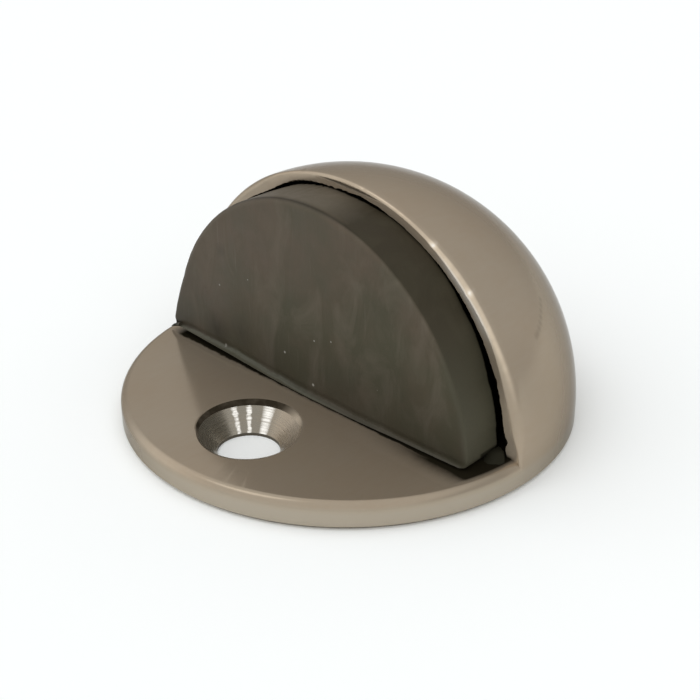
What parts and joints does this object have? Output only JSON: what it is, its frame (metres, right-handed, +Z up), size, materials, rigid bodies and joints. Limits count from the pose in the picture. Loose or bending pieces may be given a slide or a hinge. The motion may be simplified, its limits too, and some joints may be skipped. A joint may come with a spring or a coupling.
{
  "type": "half moon door stop",
  "caption": "Floor-mounted half moon door stop: a round satin nickel plate with a countersunk screw hole rises at the back into a half dome that holds a rubber buffer.",
  "frame": {"origin": "centre of the round plate, on the floor", "axes": "+Z up from the floor, +X along the rubber's straight foot, -Y out of the rubber's face towards the door and the screw hole"},
  "size_m": [0.045, 0.045, 0.024],
  "materials": {
    "satin_nickel": "satin nickel plate on a die casting",
    "dark_rubber": "matt moulded rubber"
  },
  "bodies": {
    "root": {"body": "satin_nickel", "rubber_buffer": "dark_rubber"}
  },
  "joints": []
}
